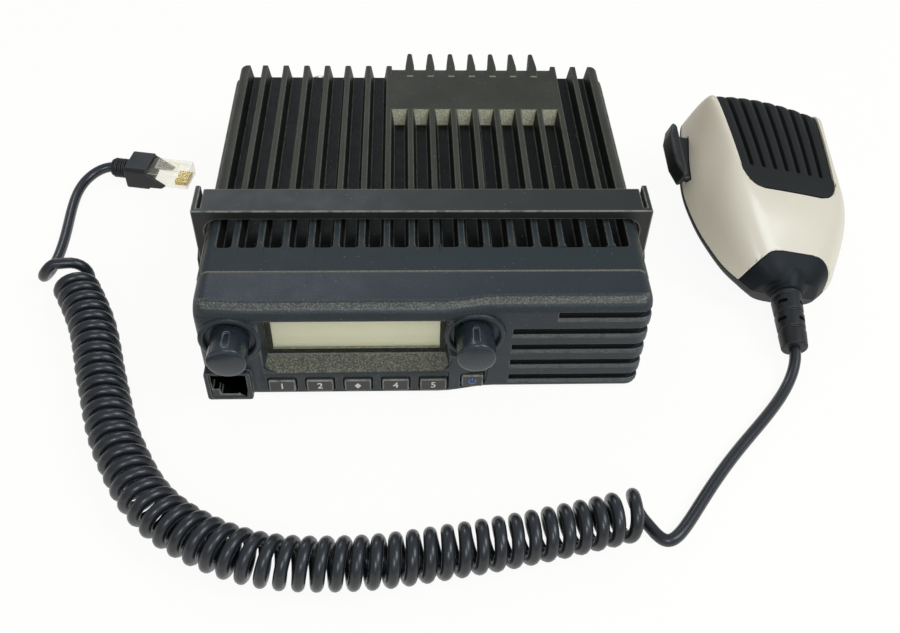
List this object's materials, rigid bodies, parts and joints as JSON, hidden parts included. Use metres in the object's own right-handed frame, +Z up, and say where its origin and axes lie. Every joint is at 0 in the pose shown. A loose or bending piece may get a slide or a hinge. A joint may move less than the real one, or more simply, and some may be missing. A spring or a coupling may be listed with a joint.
{
  "type": "mobile two-way radio",
  "caption": "Finned die-cast VHF mobile radio in a tilting U bracket, with knobs, keys and display, and a hand microphone on a curly cord that ends in a modular plug.",
  "frame": {"origin": "on the table, under the bottom cover and on the radio's middle line, 56.5 mm behind the joint of front panel and chassis", "axes": "+X to the right of someone who faces the front panel, -Y out of the front panel, +Z up"},
  "size_m": [0.3315, 0.2457, 0.0513],
  "materials": {
    "cast_body": "satin charcoal coat",
    "dark_sheet": "satin black coat",
    "bright_steel": "zinc plated",
    "black_steel": "black oxide",
    "circuit_board": "solder mask",
    "tin_can": "tinned",
    "module_black": "moulded",
    "nickel": "nickel plated",
    "white_insulator": "turned",
    "gold_contact": "gold plated",
    "black_rubber": "moulded",
    "panel_plastic": "fine grain",
    "clear_window": "clear",
    "black_trim": "matt",
    "display_glass": "unlit display",
    "diffuser": "diffuse white",
    "knob_plastic": "satin",
    "control_metal": "plain",
    "key_rubber": "satin",
    "socket_plastic": "moulded",
    "grille_cloth": "woven",
    "speaker_metal": "plain",
    "paper_cone": "paper",
    "ferrite": "sintered",
    "beige_shell": "warm grey gloss",
    "dark_shell": "fine grain",
    "grille_plastic": "fine grain",
    "cover_plastic": "blue-black",
    "capsule_metal": "drawn",
    "cord_jacket": "glossy jacket",
    "clear_plug": "clear, pale yellow"
  },
  "bodies": {
    "radio": {"chassis": "cast_body", "bottom_cover": "dark_sheet", "cover_screws": "black_steel", "main_board": "circuit_board", "board_screws": "bright_steel", "shield_can": "tin_can", "power_module": "module_black", "antenna_socket": "nickel", "antenna_insulator": "white_insulator", "antenna_contact": "gold_contact", "supply_gland": "black_rubber", "speaker_jack": "black_trim", "front_panel": "panel_plastic", "panel_screws": "bright_steel", "front_board": "circuit_board", "front_board_screws": "bright_steel", "display_lens": "clear_window", "display_frame": "black_trim", "lcd_panel": "display_glass", "lcd_backlight": "diffuser", "volume_control": "control_metal", "channel_control": "control_metal", "key_switches": "black_trim", "mic_jack": "socket_plastic", "jack_contacts": "gold_contact", "speaker_cloth": "grille_cloth", "speaker_frame": "speaker_metal", "speaker_cone": "paper_cone", "speaker_magnet": "ferrite", "bracket_bolts": "black_steel", "bracket_washers": "black_rubber", "mic_front_shell": "beige_shell", "mic_back_shell": "dark_shell", "mic_grille": "grille_plastic", "mic_cord_cover": "cover_plastic", "mic_strain_relief": "black_rubber", "mic_hanger_stud": "bright_steel", "mic_screws": "bright_steel", "mic_board": "circuit_board", "mic_capsule": "capsule_metal", "ptt_switch": "black_trim", "cord_mic_tail": "cord_jacket", "curly_cord": "cord_jacket", "cord_plug_tail": "cord_jacket", "plug_boot": "black_rubber", "plug_body": "clear_plug", "plug_contacts": "gold_contact"},
    "volume": {"volume_knob": "knob_plastic", "volume_shaft": "bright_steel"},
    "channel": {"channel_knob": "knob_plastic", "channel_shaft": "bright_steel"},
    "tilt_bracket": {"bracket": "dark_sheet"},
    "talk_button": {"ptt_button": "black_rubber"},
    "key_1_cap": {"key_1": "key_rubber"},
    "key_2_cap": {"key_2": "key_rubber"},
    "key_3_cap": {"key_3": "key_rubber"},
    "key_4_cap": {"key_4": "key_rubber"},
    "key_5_cap": {"key_5": "key_rubber"},
    "power_key_cap": {"power_key": "key_rubber"}
  },
  "joints": [
    {"name": "volume_turn", "type": "hinge", "parent": "radio", "child": "volume", "pos_m": [-0.0675, -0.08, 0.0295], "axis": [0, 1, 0], "range_deg": [-150, 150]},
    {"name": "channel_turn", "type": "hinge", "parent": "radio", "child": "channel", "pos_m": [0.0173, -0.08, 0.0295], "axis": [0, 1, 0], "continuous": true},
    {"name": "bracket_tilt", "type": "hinge", "parent": "radio", "child": "tilt_bracket", "pos_m": [0, -0.024, 0.022], "axis": [1, 0, 0], "range_deg": [-18, 8]},
    {"name": "talk_press", "type": "slide", "parent": "radio", "child": "talk_button", "axis": [0.9622, 0.0738, -0.262], "range_m": [0, 0.0015], "stiffness_N_per_m": 2500},
    {"name": "key_1_press", "type": "slide", "parent": "radio", "child": "key_1_cap", "axis": [0, 1, 0], "range_m": [0, 0.0007], "stiffness_N_per_m": 2000},
    {"name": "key_2_press", "type": "slide", "parent": "radio", "child": "key_2_cap", "axis": [0, 1, 0], "range_m": [0, 0.0007], "stiffness_N_per_m": 2000},
    {"name": "key_3_press", "type": "slide", "parent": "radio", "child": "key_3_cap", "axis": [0, 1, 0], "range_m": [0, 0.0007], "stiffness_N_per_m": 2000},
    {"name": "key_4_press", "type": "slide", "parent": "radio", "child": "key_4_cap", "axis": [0, 1, 0], "range_m": [0, 0.0007], "stiffness_N_per_m": 2000},
    {"name": "key_5_press", "type": "slide", "parent": "radio", "child": "key_5_cap", "axis": [0, 1, 0], "range_m": [0, 0.0007], "stiffness_N_per_m": 2000},
    {"name": "power_key_press", "type": "slide", "parent": "radio", "child": "power_key_cap", "axis": [0, 1, 0], "range_m": [0, 0.0007], "stiffness_N_per_m": 2000}
  ]
}
